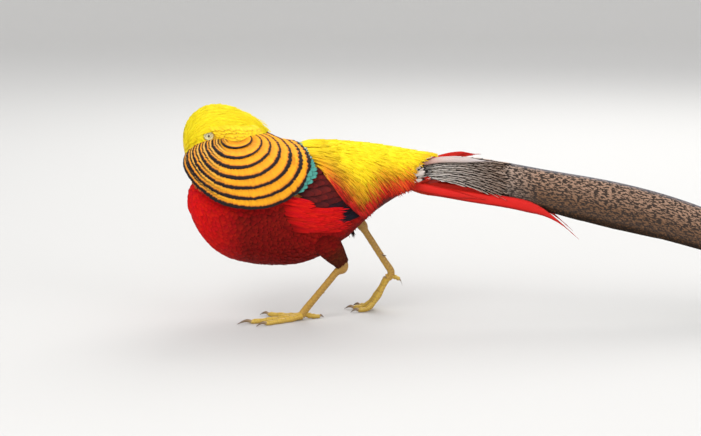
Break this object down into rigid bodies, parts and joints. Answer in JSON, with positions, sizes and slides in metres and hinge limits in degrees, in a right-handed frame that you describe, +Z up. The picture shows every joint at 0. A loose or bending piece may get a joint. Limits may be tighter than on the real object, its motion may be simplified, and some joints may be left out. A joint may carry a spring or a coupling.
{
  "type": "golden pheasant",
  "caption": "Life-size cock golden pheasant standing still in mid stride, with its yellow crest, fanned orange cape, golden back, red underparts and long spotted tail.",
  "frame": {"origin": "middle of the model's box, on the floor between its feet and its tail tip", "axes": "+Z up; the bird faces -X with its tail towards +X, and its left side is at -Y"},
  "size_m": [0.8498, 0.1328, 0.2307],
  "materials": {
    "red_plumage": "soft overlapping crimson feathers",
    "golden_plumage": "glossy hair-like golden plumes",
    "cape_plumage": "satin orange feathers with black tip bars",
    "crest_plumage": "silky yellow plumes",
    "face_skin": "matt, finely feathered",
    "eye": "wet gloss",
    "bill": "satin horn",
    "wing_plumage": "satin maroon and blue-black feathers",
    "tail_plumage": "satin, spotted brown and black",
    "thigh_plumage": "short soft feathers",
    "leg_scales": "satin scales"
  },
  "bodies": {
    "root": {"torso": "red_plumage", "rump": "golden_plumage", "neck": "cape_plumage", "head": "face_skin", "crest": "crest_plumage", "eye_left": "eye", "eye_right": "eye", "bill_upper": "bill", "bill_lower": "bill", "wing_left": "wing_plumage", "wing_right": "wing_plumage", "tail": "tail_plumage", "thigh_left": "thigh_plumage", "thigh_right": "thigh_plumage", "shank_left": "leg_scales", "shank_right": "leg_scales", "foot_left": "leg_scales", "foot_right": "leg_scales"}
  },
  "joints": []
}
